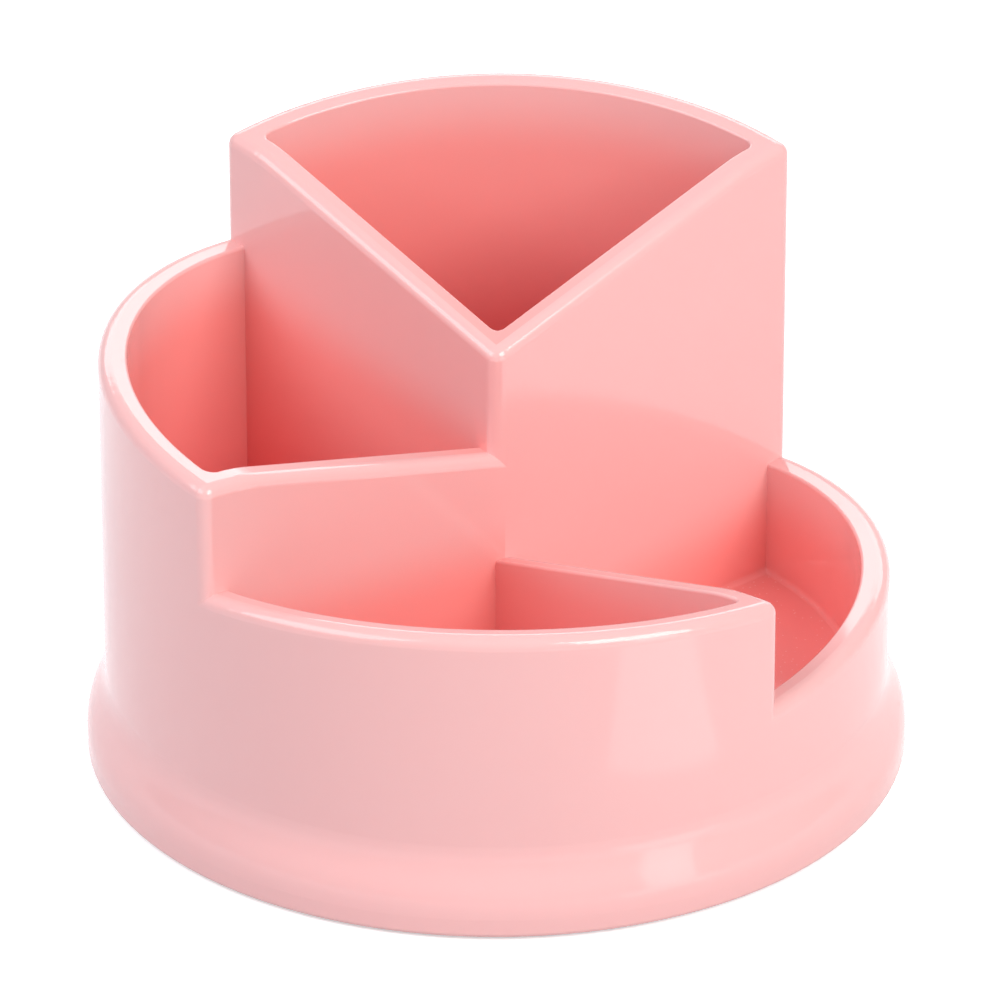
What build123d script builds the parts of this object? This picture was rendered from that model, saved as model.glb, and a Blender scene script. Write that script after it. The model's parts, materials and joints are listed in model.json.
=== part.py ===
import os
from math import cos, radians, sin, sqrt, tan

from build123d import *

os.makedirs("parts", exist_ok=True)


# Rotating desk caddy. Z is up from the desk top, and the origin is on the desk under the pivot.
# The tallest compartment is at the back (+Y), the next at the left (-X), then the front (-Y),
# and the lowest is at the right (+X). All sizes are in millimetres.

# Round wall, dividers and floor of the caddy
skirt_flare = 3.2              # the wall stands this far inside the skirt
wall_thickness = 4.9
divider_thickness = 4.4
floor_thickness = 2.9
post_corner_radius = 2.6       # front vertical corner of the tall compartment
inside_corner_radius = 1.8     # vertical corners where the dividers meet the wall
floor_corner_radius = 1.0
outside_edge_radius = 2.1      # outer edges of the rims, and the upright corners at the steps
inside_edge_radius = 0.5       # edges of the rims towards the compartments
mitre_radius = 8.0             # softens the line where the two tallest dividers meet

# Rims: each compartment is cut by a tilted plane that rises towards the outside
lowest_rim_height = 24.0       # rim plane of the lowest compartment, at the pivot axis
rim_step = 20.05               # from one rim plane to the next
rim_angle = 9.26               # tilt of the rim planes from level, in degrees
post_drop = 9.4                # dip of the dividers below the rim plane, at the pivot axis
rim_inset = 5.0                # the dividers start to dip this far inside the wall
rim_bend_radius = 30.0

# Skirt
skirt_radius = 70.0
skirt_gap = 0.6                # lower edge of the skirt to the desk
skirt_band_height = 3.4
skirt_flare_height = 12.0
skirt_flare_pull = 5.4         # height over which each end of the flare's curve stays upright
skirt_thickness = 3.6
skirt_edge_radius = 0.8
cavity_taper = 1.6             # the cavity under the floor is this much narrower at its top

# Ball bearing
ball_count = 16
ball_radius = 2.0
ball_circle_radius = 40.0
ball_play = 0.08               # from each ball to each groove
groove_radius = 2.15
groove_wall = 0.55             # steel left behind each groove
race_width = 9.0
race_thickness = 0.95
race_seat = 0.5                # depth of the recess that holds each race
cage_width = 7.0
cage_thickness = 1.6
cage_play = 0.2                # from each ball to its pocket

# Turntable base
base_clearance = 3.4           # from the base to the skirt's inside, at the lower edge
base_thickness = 2.0
base_lip_height = 1.6
base_lip_width = 1.6
base_edge_radius = 0.4
hub_radius = 12.5
hub_thickness = 2.0
hub_recess_radius = 9.6

# Feet
foot_count = 4
foot_radius = 6.0
foot_proud = 1.2               # how far the feet stand out of the base
foot_recess = 0.8
foot_edge_radius = 0.4
foot_inset = 10.0              # from the base's edge to the middle of each foot
foot_start_angle = 45.0

# Pivot
boss_radius = 5.0
pivot_play = 0.06              # from the boss to the bushing, all round
bushing_wall = 1.5
flange_radius = 8.5
flange_thickness = 0.6
washer_radius = 8.4
washer_thickness = 0.8
washer_hole_play = 0.2
washer_play = 0.25             # from the washer to the hub, along the axis
screw_radius = 1.5
screw_length = 8.0
screw_tip_room = 0.6           # depth of the pilot hole past the screw's tip
head_radius = 3.0
head_height = 1.7
head_inset = 0.5               # from the base's underside up to the screw's head
head_edge_radius = 0.5
slot_length = 3.6
slot_width = 0.8
slot_depth = 0.9

# Ribs under the floor
rib_count = 8
rib_thickness = 1.6
rib_height = 1.4
rib_clearance = 1.5            # from the ribs to the hub and to the races

# Reach of the small tests that pick edges out by their place
probe = 0.1

# Heights and radii that follow from the sizes above
wall_radius = skirt_radius - skirt_flare
inner_radius = wall_radius - wall_thickness
wall_middle_radius = wall_radius - wall_thickness / 2
half_divider = divider_thickness / 2
post_corner_distance = half_divider * sqrt(2)
base_top = foot_proud + base_thickness
lower_race_bottom = base_top - race_seat
lower_groove_bottom = lower_race_bottom + groove_wall
ball_height = lower_groove_bottom + ball_play + ball_radius
upper_groove_top = ball_height + ball_radius + ball_play
upper_race_top = upper_groove_top + groove_wall
floor_underside = upper_race_top - race_seat
floor_top = floor_underside + floor_thickness
blade_root = floor_underside + floor_thickness / 2
rim_rise = tan(radians(rim_angle))
tallest = lowest_rim_height + 3 * rim_step + rim_rise * wall_radius
band_top = skirt_gap + skirt_band_height
flare_top = band_top + skirt_flare_height
cavity_radius = skirt_radius - skirt_thickness
cavity_top_radius = cavity_radius - cavity_taper
base_radius = cavity_radius - base_clearance
foot_circle_radius = base_radius - foot_inset
race_inner_radius = ball_circle_radius - race_width / 2
race_outer_radius = ball_circle_radius + race_width / 2
head_bottom = foot_proud + head_inset
washer_bottom = head_bottom + head_height
boss_end = washer_bottom + washer_thickness
hub_underside = boss_end + washer_play
hub_top = hub_underside + hub_thickness
bore_radius = boss_radius + pivot_play
sleeve_radius = bore_radius + bushing_wall
inner_ribs = (hub_radius + rib_clearance, race_inner_radius - rib_clearance)
outer_ribs = (race_outer_radius + rib_clearance, cavity_radius)
rib_spans = [inner_ribs, outer_ribs]

# Each compartment: the direction of its middle, the height of its rim plane at the axis, and how
# far its own walls reach past the middle of the dividers on its right and on its left
back_rim = (90, lowest_rim_height + 3 * rim_step, half_divider, half_divider)
left_rim = (180, lowest_rim_height + 2 * rim_step, -half_divider, half_divider)
front_rim = (270, lowest_rim_height + rim_step, -half_divider, half_divider)
right_rim = (0, lowest_rim_height, -half_divider, -half_divider)
rims = [back_rim, left_rim, front_rim, right_rim]

# Each divider: its direction, the taller of the two rims beside it, and the side that this rim is
# on, seen outwards from the axis: 1 for its left, -1 for its right
dividers = [(45, back_rim, 1), (135, back_rim, -1), (225, left_rim, -1), (315, front_rim, -1)]


def plan_direction(angle):
    return Vector(cos(radians(angle)), sin(radians(angle)), 0)


def wall_corner(angle, side):
    # Where a divider's left (1) or right (-1) face meets the inside of the wall, on the floor
    along = sqrt(inner_radius**2 - half_divider**2)
    across = plan_direction(angle + 90) * half_divider * side
    return plan_direction(angle) * along + across + Vector(0, 0, floor_top)


def step_corner(angle, rim, side):
    # A point on the upright corner where the outside of the wall steps down beside a divider
    along = sqrt(wall_radius**2 - half_divider**2)
    across = plan_direction(angle + 90) * -half_divider * side
    return plan_direction(angle) * along + across + Vector(0, 0, rim[1])


def air_above(rim):
    # Everything over one compartment's rim plane, out to the far faces of its own walls
    middle, height, reach_right, reach_left = rim
    outwards = plan_direction(middle)
    rim_plane = Plane(
        origin=(0, 0, height),
        x_dir=outwards + Vector(0, 0, rim_rise),
        z_dir=Vector(0, 0, 1) - outwards * rim_rise,
    )
    apex_along = -(reach_right + reach_left) / sqrt(2)
    apex_across = (reach_left - reach_right) / sqrt(2)
    span = skirt_radius * 2
    with BuildPart() as air:
        with BuildSketch():
            Polygon(
                (apex_along, apex_across),
                (apex_along + span, apex_across - span),
                (apex_along + span, apex_across + span),
                align=None,
                rotation=middle,
            )
        extrude(amount=tallest * 2)
        split(bisect_by=rim_plane, keep=Keep.TOP)
    return air.part


def divider_blade(angle, rim):
    # The top edge follows the rim plane near the wall, then dips in a straight line to the post
    middle, height = rim[:2]
    left_side = plan_direction(angle + 90)
    rise_along = rim_rise * cos(radians(angle - middle))
    rise_left = rim_rise * cos(radians(angle + 90 - middle))
    start_height = height + rise_left * half_divider
    bend = inner_radius - rim_inset
    dip_rise = (post_drop + rise_along * bend) / bend
    across = -left_side - Vector(0, 0, rise_left)
    side = Plane(
        origin=left_side * half_divider,
        x_dir=plan_direction(angle),
        z_dir=-left_side,
    )
    with BuildPart() as blade:
        with BuildSketch(side):
            with BuildLine():
                Polyline(
                    (-half_divider, blade_root),
                    (wall_middle_radius, blade_root),
                    (wall_middle_radius, start_height + rise_along * wall_middle_radius),
                    (bend, start_height + rise_along * bend),
                    (-half_divider, start_height - post_drop - dip_rise * half_divider),
                    close=True,
                )
            make_face()
            fillet(vertices().group_by(Axis.Y)[-2], radius=rim_bend_radius)
        extrude(amount=divider_thickness * across.length, dir=across)
    return blade.part


def edge_near(builder, x, y, z):
    return builder.edges().sort_by_distance((x, y, z))[0]


def upright_near(builder, x, y, z):
    return builder.edges().filter_by(Axis.Z).sort_by_distance((x, y, z))[0]


def borders_own_compartment(edge):
    # Whether a rim's edge runs round the compartment that the rim belongs to, not outside it
    place = edge @ 0.5
    radius = Vector(place.X, place.Y, 0).length
    for middle, height, *reaches in rims:
        outwards = place.dot(plan_direction(middle))
        if outwards > radius * cos(radians(45)):
            rim_height = height + rim_rise * outwards
            return radius < wall_middle_radius and place.Z < rim_height + probe


def rim_edges(builder):
    # Edges of the sloping rim faces that have no taller wall standing over them
    solid = builder.solid()
    faces = builder.faces().filter_by(
        lambda face: face.center().Z > flare_top and face.normal_at().Z > cos(radians(45))
    )
    above = [Vector(1, 0, 1), Vector(-1, 0, 1), Vector(0, 1, 1), Vector(0, -1, 1)]
    return ShapeList(
        edge
        for edge in faces.edges()
        if sum(edge in face.edges() for face in faces) == 1
        and not any(solid.is_inside(edge @ 0.5 + step * probe) for step in above)
    )


def wall_steps(builder):
    # Upright edges on the outside of the wall, one beside each divider
    return ShapeList(
        upright_near(builder, *step_corner(angle, rim, side)) for angle, rim, side in dividers
    )


def save(builder, name):
    builder.part.label = name
    export_step(builder.part, f"parts/{name}.step")


# Caddy: one moulding
with BuildPart() as caddy_body:
    # Half section through the skirt, the floor and the full height of the round wall
    with BuildSketch(Plane.YZ):
        with BuildLine():
            Line((skirt_radius, skirt_gap), (skirt_radius, band_top))
            Bezier(
                (skirt_radius, band_top),
                (skirt_radius, band_top + skirt_flare_pull),
                (wall_radius, flare_top - skirt_flare_pull),
                (wall_radius, flare_top),
            )
            Polyline(
                (wall_radius, flare_top),
                (wall_radius, tallest),
                (inner_radius, tallest),
                (inner_radius, floor_top),
                (0, floor_top),
                (0, floor_underside),
                (cavity_top_radius, floor_underside),
                (cavity_radius, skirt_gap),
                (skirt_radius, skirt_gap),
            )
        make_face()
    revolve(axis=Axis.Z)
    add([air_above(rim) for rim in rims], mode=Mode.SUBTRACT)
    add([divider_blade(angle, rim) for angle, rim, side in dividers])

    # The line where the two tallest dividers meet, and the upright corners of their post
    fillet(edge_near(caddy_body, 0, 0, back_rim[1] - post_drop), radius=mitre_radius)
    bare_post = left_rim[1] + rim_step / 2
    inside_post = upright_near(caddy_body, 0, post_corner_distance, bare_post)
    fillet(inside_post, radius=inside_corner_radius)
    front_post = upright_near(caddy_body, 0, -post_corner_distance, bare_post)
    fillet(front_post, radius=post_corner_radius)

    # Corners inside the wall, on the side where the divider and the wall share one rim
    own_corners = [wall_corner(angle, side) for angle, rim, side in dividers]
    fillet([upright_near(caddy_body, *corner) for corner in own_corners], inside_corner_radius)

    # Outer edges of every rim, with the upright corners where the outside of the wall steps down
    outer_edges = rim_edges(caddy_body).filter_by(borders_own_compartment, reverse=True)
    fillet(outer_edges + wall_steps(caddy_body), radius=outside_edge_radius)

    # Inner edges of every rim
    fillet(rim_edges(caddy_body).filter_by(borders_own_compartment), radius=inside_edge_radius)

    # The edge of every compartment's floor
    around_floor = (floor_top - probe, floor_top + probe)
    fillet(caddy_body.edges().filter_by_position(Axis.Z, *around_floor), floor_corner_radius)

    # Lower edge of the skirt
    skirt_edge = caddy_body.edges().group_by(Axis.Z)[0].sort_by(SortBy.LENGTH)[-1]
    fillet(skirt_edge, radius=skirt_edge_radius)

    # Underneath: the seat of the upper race, the ribs, and the boss with its pilot hole
    with BuildSketch(Plane.XY.offset(floor_underside)):
        Circle(race_outer_radius)
        Circle(race_inner_radius, mode=Mode.SUBTRACT)
    extrude(amount=race_seat, mode=Mode.SUBTRACT)
    with BuildSketch(Plane.XY.offset(floor_underside)):
        for start, end in rib_spans:
            with PolarLocations((start + end) / 2, rib_count):
                Rectangle(end - start, rib_thickness)
    extrude(amount=-rib_height)
    with BuildSketch(Plane.XY.offset(boss_end)):
        Circle(boss_radius)
    extrude(until=Until.NEXT)
    with BuildSketch(Plane.XY.offset(boss_end)):
        Circle(screw_radius)
    extrude(amount=screw_length - washer_thickness + screw_tip_room, mode=Mode.SUBTRACT)
save(caddy_body, "caddy_body")


# Turntable base: a disc with a hub, a lip, the seat of the lower race and recesses for the feet
with BuildPart() as turntable_base:
    with BuildSketch(Plane.XZ):
        with BuildLine():
            Polyline(
                (hub_recess_radius, foot_proud),
                (base_radius, foot_proud),
                (base_radius, base_top + base_lip_height),
                (base_radius - base_lip_width, base_top + base_lip_height),
                (base_radius - base_lip_width, base_top),
                (race_outer_radius, base_top),
                (race_outer_radius, lower_race_bottom),
                (race_inner_radius, lower_race_bottom),
                (race_inner_radius, base_top),
                (hub_radius, base_top),
                (hub_radius, hub_top),
                (sleeve_radius, hub_top),
                (sleeve_radius, hub_underside),
                (hub_recess_radius, hub_underside),
                close=True,
            )
        make_face()
    revolve(axis=Axis.Z)
    rim_circles = turntable_base.edges().filter_by(GeomType.CIRCLE).group_by(SortBy.RADIUS)[-1]
    fillet(rim_circles, radius=base_edge_radius)
    with BuildSketch(Plane.XY.offset(foot_proud)):
        with PolarLocations(foot_circle_radius, foot_count, start_angle=foot_start_angle):
            Circle(foot_radius)
    extrude(amount=foot_recess, mode=Mode.SUBTRACT)
save(turntable_base, "turntable_base")


# Rubber feet, seated in the recesses
for number in range(foot_count):
    angle = foot_start_angle + number * 360 / foot_count
    with BuildPart() as foot:
        with BuildSketch(Plane(origin=plan_direction(angle) * foot_circle_radius)):
            Circle(foot_radius)
        extrude(amount=foot_proud + foot_recess)
        fillet(foot.edges().sort_by(Axis.Z)[0], radius=foot_edge_radius)
    save(foot, f"foot_{number + 1}")


# Bearing races: steel rings with a round groove, one in the base and one in the caddy
with BuildPart() as lower_race:
    with BuildSketch(Plane.XZ):
        with Locations((ball_circle_radius, lower_race_bottom + race_thickness / 2)):
            Rectangle(race_width, race_thickness)
        with Locations((ball_circle_radius, lower_groove_bottom + groove_radius)):
            Circle(groove_radius, mode=Mode.SUBTRACT)
    revolve(axis=Axis.Z)
save(lower_race, "lower_race")

with BuildPart() as upper_race:
    with BuildSketch(Plane.XZ):
        with Locations((ball_circle_radius, upper_race_top - race_thickness / 2)):
            Rectangle(race_width, race_thickness)
        with Locations((ball_circle_radius, upper_groove_top - groove_radius)):
            Circle(groove_radius, mode=Mode.SUBTRACT)
    revolve(axis=Axis.Z)
save(upper_race, "upper_race")


# Cage: a flat ring with a pocket for each ball
with BuildPart() as ball_cage:
    with BuildSketch(Plane.XY.offset(ball_height - cage_thickness / 2)):
        Circle(ball_circle_radius + cage_width / 2)
        Circle(ball_circle_radius - cage_width / 2, mode=Mode.SUBTRACT)
        with PolarLocations(ball_circle_radius, ball_count):
            Circle(ball_radius + cage_play, mode=Mode.SUBTRACT)
    extrude(amount=cage_thickness)
save(ball_cage, "ball_cage")


# Steel balls
for number in range(ball_count):
    place = plan_direction(number * 360 / ball_count) * ball_circle_radius
    with BuildPart(Plane(origin=place + Vector(0, 0, ball_height))) as bearing_ball:
        Sphere(ball_radius)
    save(bearing_ball, f"bearing_ball_{number + 1:02d}")


# Pivot bushing: a flanged sleeve in the hub of the base
with BuildPart() as pivot_bushing:
    with BuildSketch(Plane.XZ):
        with BuildLine():
            Polyline(
                (bore_radius, hub_underside),
                (sleeve_radius, hub_underside),
                (sleeve_radius, hub_top),
                (flange_radius, hub_top),
                (flange_radius, hub_top + flange_thickness),
                (bore_radius, hub_top + flange_thickness),
                close=True,
            )
        make_face()
    revolve(axis=Axis.Z)
save(pivot_bushing, "pivot_bushing")


# Washer that holds the base up against the caddy
with BuildPart() as pivot_washer:
    with BuildSketch(Plane.XY.offset(washer_bottom)):
        Circle(washer_radius)
        Circle(screw_radius + washer_hole_play, mode=Mode.SUBTRACT)
    extrude(amount=washer_thickness)
save(pivot_washer, "pivot_washer")


# Screw with a cross slot in its rounded head
with BuildPart() as pivot_screw:
    with BuildSketch(Plane.XY.offset(head_bottom)):
        Circle(head_radius)
    extrude(amount=head_height)
    fillet(pivot_screw.edges().sort_by(Axis.Z)[0], radius=head_edge_radius)
    with BuildSketch(Plane.XY.offset(washer_bottom)):
        Circle(screw_radius)
    extrude(amount=screw_length)
    with BuildSketch(Plane.XY.offset(head_bottom)):
        Rectangle(slot_length, slot_width)
        Rectangle(slot_width, slot_length)
    extrude(amount=slot_depth, mode=Mode.SUBTRACT)
save(pivot_screw, "pivot_screw")
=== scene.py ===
import json
from math import cos, pi, radians, sin, tan

import bpy
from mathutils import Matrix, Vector


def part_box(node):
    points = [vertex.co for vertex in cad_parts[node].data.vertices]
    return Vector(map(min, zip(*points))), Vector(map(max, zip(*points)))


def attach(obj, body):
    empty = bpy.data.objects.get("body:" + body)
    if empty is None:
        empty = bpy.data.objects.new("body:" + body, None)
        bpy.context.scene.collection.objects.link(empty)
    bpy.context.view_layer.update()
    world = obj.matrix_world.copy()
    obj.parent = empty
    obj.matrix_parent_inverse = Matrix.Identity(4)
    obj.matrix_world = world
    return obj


# Rotating desk organizer in pink plastic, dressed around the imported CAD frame.
# Metres, Z up; the tallest compartment is at the back (+Y) and the lowest at the right (+X).

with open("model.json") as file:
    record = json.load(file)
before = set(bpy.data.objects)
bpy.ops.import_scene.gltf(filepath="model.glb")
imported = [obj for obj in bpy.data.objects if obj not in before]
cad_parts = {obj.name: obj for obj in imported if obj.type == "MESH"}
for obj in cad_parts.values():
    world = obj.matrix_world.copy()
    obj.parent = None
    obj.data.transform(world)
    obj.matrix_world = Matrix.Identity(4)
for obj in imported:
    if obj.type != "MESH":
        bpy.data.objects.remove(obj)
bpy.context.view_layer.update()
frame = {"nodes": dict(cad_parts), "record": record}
nodes = frame["nodes"]
print("frame:", len(nodes), "nodes")


class Sock:
    # an output socket that takes part in sums; bare numbers may stand on either side
    def __init__(self, tree, socket):
        self.tree = tree
        self.socket = socket

    def maths(self, operation, *others):
        values = dict(enumerate((self, *others)))
        return addNode(self.tree, "ShaderNodeMath", {"operation": operation}, values)

    def __add__(self, other):
        return self.maths("ADD", other)

    def __sub__(self, other):
        return self.maths("SUBTRACT", other)

    def __mul__(self, other):
        return self.maths("MULTIPLY", other)

    def __pow__(self, other):
        return self.maths("POWER", other)

    def __neg__(self):
        return self * -1.0

    def __rsub__(self, other):
        return -self + other

    def __gt__(self, other):
        return self.maths("GREATER_THAN", other)

    __radd__ = __add__
    __rmul__ = __mul__

    def ramp(self, low, high):
        # 0 at low, 1 at high, with a soft start and end
        values = {"Value": self, "From Min": low, "From Max": high}
        return addNode(self.tree, "ShaderNodeMapRange", {"interpolation_type": "SMOOTHSTEP"}, values)

    def mix(self, first, second):
        # this socket runs 0 to 1 from the first colour to the second; 6 and 7 are the colour sockets
        values = {0: self, 6: first, 7: second}
        return addNode(self.tree, "ShaderNodeMix", {"data_type": "RGBA"}, values, out=2)


def plug(entry, value):
    if isinstance(value, Sock):
        value.tree.links.new(value.socket, entry)
    elif isinstance(value, tuple) and entry.type == "RGBA":
        entry.default_value = (*value, 1.0)
    else:
        entry.default_value = value


def addNode(tree, kind, settings, values, out=0):
    # settings go first; values are numbers, colours or links, by the name or number of the socket
    made = tree.nodes.new(kind)
    for key, value in settings.items():
        setattr(made, key, value)
    for key, value in values.items():
        plug(made.inputs[key], value)
    return Sock(tree, made.outputs[out])


class Paint:
    # one procedural material on a Principled shader; keywords are the shader's constants
    def __init__(self, name, **constants):
        self.material = bpy.data.materials.new(name)
        self.material.use_nodes = True
        self.tree = self.material.node_tree
        self.shader = self.tree.nodes["Principled BSDF"]
        self.set(**constants)
        self.spot = self.node("ShaderNodeTexCoord", out="Object")

    def node(self, kind, settings=None, out=0, **values):
        named = {key.replace("_", " "): value for key, value in values.items()}
        return addNode(self.tree, kind, settings or {}, named, out)

    def set(self, **values):
        for key, value in values.items():
            plug(self.shader.inputs[key.replace("_", " ")], value)

    def xyz(self):
        return [self.node("ShaderNodeSeparateXYZ", out=axis, Vector=self.spot) for axis in "XYZ"]

    def reach(self):
        # distance from the turning axis
        x, y, z = self.xyz()
        return (x * x + y * y) ** 0.5

    def noise(self, size, detail=2.0, rough=0.5):
        # size is that of one blotch, in metres
        values = {"Vector": self.spot, "Scale": 1 / size, "Detail": detail, "Roughness": rough}
        return self.node("ShaderNodeTexNoise", **values)

    def specks(self, size, share):
        # scattered specks: 1 in a small share of the cells of that size, else 0
        cells = self.node("ShaderNodeTexVoronoi", out="Distance", Vector=self.spot, Scale=1 / size)
        return 1.0 - cells.ramp(share * 0.5, share)

    def scratches(self, size, stretch):
        # noise squeezed along one direction, for fine rubbed lines
        squeezed = self.node("ShaderNodeMapping", Vector=self.spot, Scale=stretch)
        lines = self.node("ShaderNodeTexNoise", Vector=squeezed, Scale=1 / size, Detail=3.0)
        return lines.ramp(0.62, 0.70)

    def bump(self, height, depth):
        self.set(Normal=self.node("ShaderNodeBump", Height=height, Distance=depth, Strength=1.0))


pink = {
    "outside": ((0.93, 0.48, 0.47), (0.94, 0.50, 0.49)),   # pairs of near shades, mixed in soft clouds
    "shadedNearRim": ((0.96, 0.34, 0.32), (0.97, 0.36, 0.34)),     # painted shade: inside a compartment, close to its rim, a deeper pink standing in for the shade and the light its walls bounce onto each other
    "shadedNearFloor": ((0.98, 0.25, 0.25), (0.99, 0.27, 0.27)),     # painted shade: inside a compartment, close to its floor, deeper still
    "cloud": 0.03,
    "paintedShadeOnset": (0.0, 0.014),        # depths below the rim at which the outside pink turns into painted shade, and that into deeper painted shade
    "paintedShadeDeepening": (0.01, 0.06),
    "insideWall": (0.0622, 0.063),     # from the compartments' round wall to within its thickness
    "lowestRim": 0.0240,               # rim plane of the lowest compartment, at the axis
    "rimStep": 0.02005,
    "rimRise": tan(radians(9.26)),
    "rubbedDepth": (0.004, 0.014),     # rubbed lines fade out over this distance from the rim
    "floorTop": 0.01036,
    "dust": (0.82, 0.70, 0.68),
    "dustSize": 0.0011,
    "dustShare": 0.16,
    "dustHeight": (0.0002, 0.0012),
    "gloss": 0.08,                     # roughness where nothing has rubbed it
    "peel": 0.00002,                   # depth of the orange peel
}


def pinkGloss():
    p = Paint("pink_gloss", IOR=1.57, Subsurface_Weight=0.06, Subsurface_Scale=0.002)
    p.set(Subsurface_Radius=(1.0, 0.35, 0.25))
    x, y, z = p.xyz()
    # which compartment the spot looks into: 3 steps up at the back, 0 at the right
    backHalf = (x + y) > 0.0
    rightHalf = (x - y) > 0.0
    steps = (1.0 - rightHalf) * (backHalf + 2.0) + rightHalf * (1.0 - backHalf)
    outwards = x.maths("ABSOLUTE").maths("MAXIMUM", y.maths("ABSOLUTE"))
    rim = steps * pink["rimStep"] + outwards * pink["rimRise"] + pink["lowestRim"]
    depth = rim - z
    inside = 1.0 - p.reach().ramp(*pink["insideWall"])
    # the plastic's own pink outside, paler; inside the compartments painted shade, deeper and redder
    # the further below the rim, where the walls shade and light each other
    cloud = p.noise(pink["cloud"], 3.0)
    outside, shadedNearRim, shadedNearFloor = (cloud.mix(*pink[place]) for place in ("outside", "shadedNearRim", "shadedNearFloor"))
    # painted shade that deepens from near the rim down to near the floor
    paintedDeepShade = depth.ramp(*pink["paintedShadeDeepening"]).mix(shadedNearRim, shadedNearFloor)
    # sides is the outside pink at the rims, turning into the painted shade further down inside
    sides = depth.ramp(*pink["paintedShadeOnset"]).mix(outside, paintedDeepShade)
    # a little dust lies on the floors and in the corners
    low = 1.0 - (z - pink["floorTop"]).ramp(*pink["dustHeight"])
    dust = p.specks(pink["dustSize"], pink["dustShare"]) * inside * low
    p.set(Base_Color=(dust * 0.3).mix(inside.mix(outside, sides), pink["dust"]))
    # rubbed lines at the rims, where pens are dropped in, and a faint orange peel
    nearRim = 1.0 - depth.maths("ABSOLUTE").ramp(*pink["rubbedDepth"])
    rubbed = p.scratches(0.004, (1.0, 1.0, 9.0)) * nearRim
    p.set(Roughness=pink["gloss"] + 0.06 * p.noise(0.006, 3.0) + 0.12 * rubbed + 0.3 * dust)
    p.bump(p.noise(0.0045, 1.0) * 0.6 + p.noise(0.0006, 2.0) * 0.12 + dust * 0.4, pink["peel"])
    return p.material


base = {
    "dark": (0.80, 0.36, 0.33),
    "light": (0.86, 0.43, 0.40),
    "flow": 0.02,          # size of the clouds left by the flow of the plastic
    "grain": 0.0005,
    "gloss": 0.42,
    "depth": 0.00006,
}


def basePlastic():
    p = Paint("base_plastic", IOR=1.49)
    texture = p.noise(base["grain"], 4.0, 0.7)
    p.set(Base_Color=p.noise(base["flow"], 3.0).mix(base["dark"], base["light"]))
    p.set(Roughness=base["gloss"] + 0.2 * texture)
    p.bump(texture, base["depth"])
    return p.material


def turnedSteel(name, dark, light, gloss):
    # rings from turning or stamping run round the axis
    p = Paint(name, Metallic=1.0)
    oneWay = {"noise_dimensions": "1D"}
    rings = p.node("ShaderNodeTexNoise", oneWay, W=p.reach(), Scale=9000.0, Detail=2.0)
    film = p.noise(0.004, 3.0)
    p.set(Base_Color=(rings * 0.5 + film * 0.5).mix(dark, light))
    p.set(Roughness=gloss + 0.12 * rings + 0.1 * film)
    p.bump(rings, 0.00001)
    return p.material


ball = {
    "dark": (0.62, 0.62, 0.64),
    "light": (0.78, 0.78, 0.80),
    "film": 0.0012,        # size of the blotches of the oil film
    "gloss": 0.05,
}


def ballSteel():
    p = Paint("ball_steel", Metallic=1.0)
    film = p.noise(ball["film"], 3.0)
    p.set(Base_Color=film.mix(ball["dark"], ball["light"]))
    p.set(Roughness=ball["gloss"] + 0.12 * film)
    p.bump(p.noise(0.0003), 0.000003)
    return p.material


def mouldedNylon(name, dark, light, gloss):
    p = Paint(name, IOR=1.53, Subsurface_Weight=0.1, Subsurface_Scale=0.001)
    grain = p.noise(0.0004, 3.0)
    p.set(Base_Color=p.noise(0.003, 4.0).mix(dark, light))
    p.set(Roughness=gloss + 0.15 * grain)
    p.bump(grain, 0.00002)
    return p.material


foot = {
    "black": (0.018, 0.018, 0.02),
    "worn": (0.06, 0.058, 0.058),
    "wornSize": 0.003,
    "grain": 0.0004,
    "gloss": 0.55,
    "depth": 0.00005,
}


def footRubber():
    p = Paint("foot_rubber", IOR=1.5)
    grain = p.noise(foot["grain"], 4.0, 0.7)
    worn = p.noise(foot["wornSize"], 3.0).ramp(0.45, 0.7)
    p.set(Base_Color=worn.mix(foot["black"], foot["worn"]))
    p.set(Roughness=foot["gloss"] + 0.25 * grain)
    p.bump(grain + p.specks(0.0009, 0.2) * 0.5, foot["depth"])
    return p.material


paints = {
    "pink_gloss": pinkGloss(),
    "base_plastic": basePlastic(),
    "bearing_steel": turnedSteel("bearing_steel", (0.42, 0.42, 0.43), (0.62, 0.62, 0.63), 0.22),
    "ball_steel": ballSteel(),
    "cage_nylon": mouldedNylon("cage_nylon", (0.70, 0.67, 0.58), (0.80, 0.77, 0.69), 0.4),
    "bushing_acetal": mouldedNylon("bushing_acetal", (0.78, 0.78, 0.76), (0.85, 0.85, 0.84), 0.3),
    "zinc_steel": turnedSteel("zinc_steel", (0.50, 0.51, 0.55), (0.70, 0.71, 0.75), 0.25),
    "foot_rubber": footRubber(),
}
for part in frame["record"]["subparts"]:
    mesh = nodes[part["node"]].data
    mesh.materials.clear()
    mesh.materials.append(paints[part["material_slot"]])
print("materials:", len(paints))


def show(name, data):
    made = bpy.data.objects.new(name, data)
    bpy.context.scene.collection.objects.link(made)
    return made


def turned(name, profile, centre, paint, body, sides=40):
    # a round piece from its half profile: (radius, height) points from its upper rim down and inwards
    mesh = bpy.data.meshes.new(name)
    angles = [2 * pi * side / sides for side in range(sides)]
    points = []
    for radius, height in profile:
        points += [centre + Vector((radius * cos(a), radius * sin(a), height)) for a in angles]
    faces = []
    for row in range(0, (len(profile) - 1) * sides, sides):
        for side in range(sides):
            here, beside = row + side, row + (side + 1) % sides
            faces.append((here, beside, beside + sides, here + sides))
    faces.append(tuple(range(sides))[::-1])
    faces.append(tuple(range(len(points) - sides, len(points))))
    mesh.from_pydata(points, [], faces)
    mesh.materials.append(paints[paint])
    made = show(name, mesh)
    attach(made, body)


baseLow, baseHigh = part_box("turntable_base")
sunk = 0.0001              # how far a mark reaches up into the base

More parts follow.
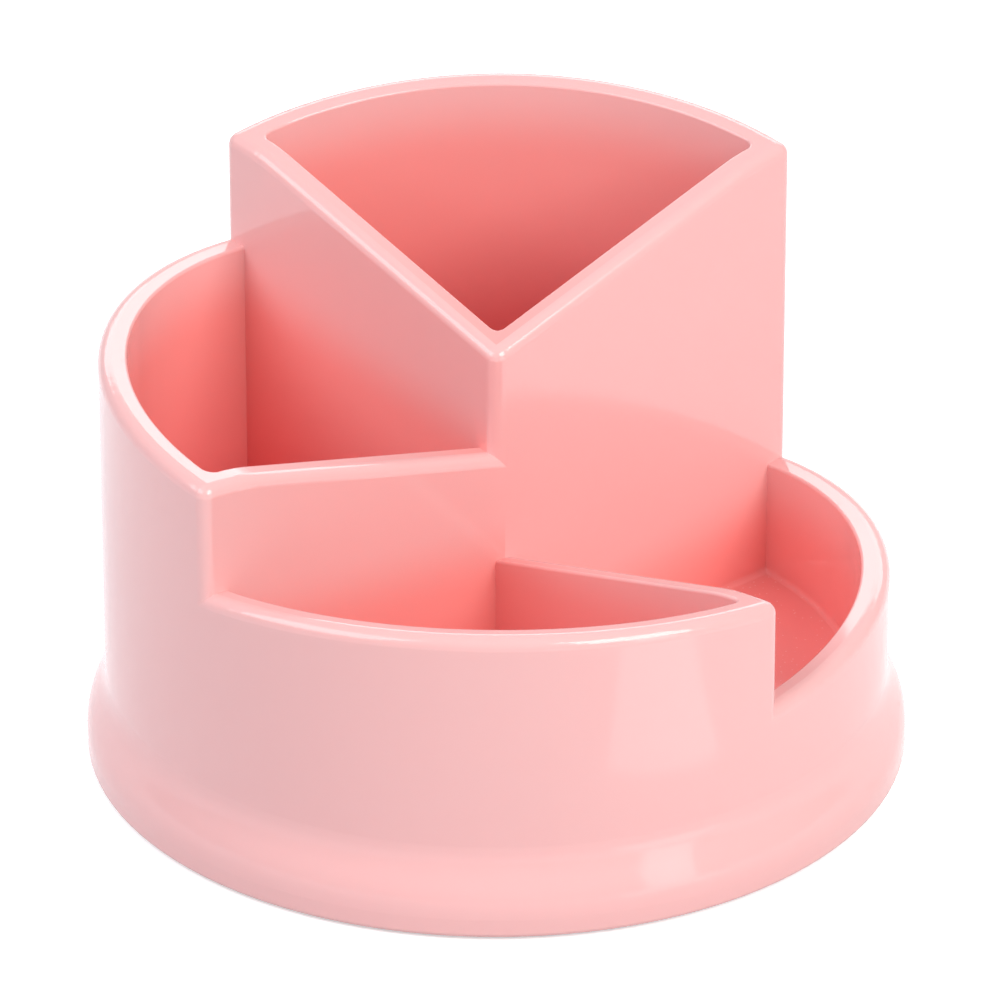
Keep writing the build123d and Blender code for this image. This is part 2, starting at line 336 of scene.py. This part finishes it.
ejector = {
    "count": 8,
    "radius": 0.0025,
    "circle": 0.0305,      # radius of the circle that the marks stand on
    "proud": 0.00012,
    "turn": radians(22.5),
}
radius, proud = ejector["radius"], ejector["proud"]
ejectorProfile = [(radius, sunk), (radius, -proud * 0.5), (radius * 0.96, -proud)]
for number in range(ejector["count"]):
    angle = ejector["turn"] + 2 * pi * number / ejector["count"]
    centre = Vector((cos(angle) * ejector["circle"], sin(angle) * ejector["circle"], baseLow.z))
    turned(f"ejector_mark_{number + 1}", ejectorProfile, centre, "base_plastic", "base")

gate = {
    "place": (0.0, 0.0175),
    "radius": 0.0011,
    "proud": 0.0003,
}
radius, proud = gate["radius"], gate["proud"]
gateProfile = [(radius, sunk), (radius, -proud * 0.6), (radius * 0.6, -proud)]
turned("gate_mark", gateProfile, Vector((*gate["place"], baseLow.z)), "base_plastic", "base")
print("pieces:", ejector["count"] + 1)


stage = {
    "reach": 3.0,
    "white": (1.0, 1.0, 1.0),
    "room": (0.80, 0.82, 0.88),    # what lights the object from all round, cooler than the lamps
    "roomLevel": 0.54,
    "floor": ((0.93, 0.93, 0.94), (0.95, 0.95, 0.96)),
    "cloud": 0.4,
    "bounce": (0.42, 0.42, 0.44),  # the floor as a source of light, so little comes from below
    "floorLift": 0.45,
}


def shown(tree):
    # 1 where the camera sees the stage, straight or in a reflection
    straight = addNode(tree, "ShaderNodeLightPath", {}, {}, out="Is Camera Ray")
    mirrored = addNode(tree, "ShaderNodeLightPath", {}, {}, out="Is Glossy Ray")
    return straight.maths("MAXIMUM", mirrored)


floorMesh = bpy.data.meshes.new("floor")
far = stage["reach"]
corners = [(-far, -far, 0), (far, -far, 0), (far, far, 0), (-far, far, 0)]
floorMesh.from_pydata(corners, [], [(0, 1, 2, 3)])
floorPaint = Paint("floor_white", Roughness=0.9, Specular_IOR_Level=0.1, Emission_Strength=1.0)
seen = shown(floorPaint.tree)
pale = floorPaint.noise(stage["cloud"]).mix(*stage["floor"])
floorPaint.set(Base_Color=seen.mix(stage["bounce"], pale))
floorPaint.set(Emission_Color=seen.mix((0.0, 0.0, 0.0), (stage["floorLift"],) * 3))
floorMesh.materials.append(floorPaint.material)
show("floor", floorMesh)

world = bpy.data.worlds.new("studio")
bpy.context.scene.world = world
world.use_nodes = True
roomColour = tuple(stage["roomLevel"] * part for part in stage["room"])
sky = shown(world.node_tree).mix(roomColour, stage["white"])
plug(world.node_tree.nodes["Background"].inputs["Color"], sky)


lamps = {
    "keyRight": {"turn": 48, "lift": 36, "distance": 1.4, "size": (0.8, 0.7), "level": 0.62,
                 "colour": (1.0, 0.98, 0.92)},
    "fillLeft": {"turn": -60, "lift": 41, "distance": 1.4, "size": (1.2, 0.8), "level": 0.50,
                 "colour": (0.92, 0.97, 1.0)},
    "rimLight": {"turn": 182, "lift": 27, "distance": 1.5, "size": (1.8, 0.36), "level": 0.21},
    "strip": {"turn": 48, "lift": 9, "distance": 0.9, "size": (0.22, 0.4), "level": 0.06},
}
card = {
    "place": (0.103, -0.122, 0.001),   # lies on the floor, unseen by the camera
    "turn": radians(46),
    "distance": 0.16,
    "size": (0.05, 0.10),
    "level": 0.06,
}


def fromDirection(turn, lift):
    # turn is to the right of the front, lift is above the floor
    return Vector((sin(turn) * cos(lift), -cos(turn) * cos(lift), sin(lift)))


def softbox(name, lamp):
    # a level of 1 alone lights a white card that faces the lamp to plain white
    data = bpy.data.lights.new(name, "AREA")
    data.shape = "RECTANGLE"
    data.size, data.size_y = lamp["size"]
    data.energy = lamp["level"] * (pi * lamp["distance"]) ** 2
    data.color = lamp.get("colour", stage["white"])
    made = show(name, data)
    return made


lampAim = Vector((0, 0, 0.04))
for name, lamp in lamps.items():
    outwards = fromDirection(radians(lamp["turn"]), radians(lamp["lift"]))
    made = softbox(name, lamp)
    made.location = lampAim + outwards * lamp["distance"]
    made.rotation_euler = outwards.to_track_quat("Z", "Y").to_euler()
made = softbox("card", card)
made.location = card["place"]
made.rotation_euler = (pi, 0, card["turn"])
made.visible_camera = False
print("lamps:", len(lamps) + 1)


camera = {
    "lens": 321.2,                     # on a 36 mm sensor
    "sensor": 36.0,
    "clip": (0.05, 20.0),
    "distance": 1.5089,
    "turn": radians(2.487),
    "lift": radians(27.643),
    "aim": Vector((0.00062, 0.0, 0.04545)),
}
lens = bpy.data.cameras.new("camera")
lens.lens = camera["lens"]
lens.sensor_width = camera["sensor"]
lens.clip_start, lens.clip_end = camera["clip"]
eye = show("camera", lens)
back = fromDirection(camera["turn"], camera["lift"])
eye.location = camera["aim"] + back * camera["distance"]
eye.rotation_euler = back.to_track_quat("Z", "Y").to_euler()
bpy.context.scene.camera = eye
bpy.context.scene.view_settings.view_transform = "Standard"
print("camera ready")
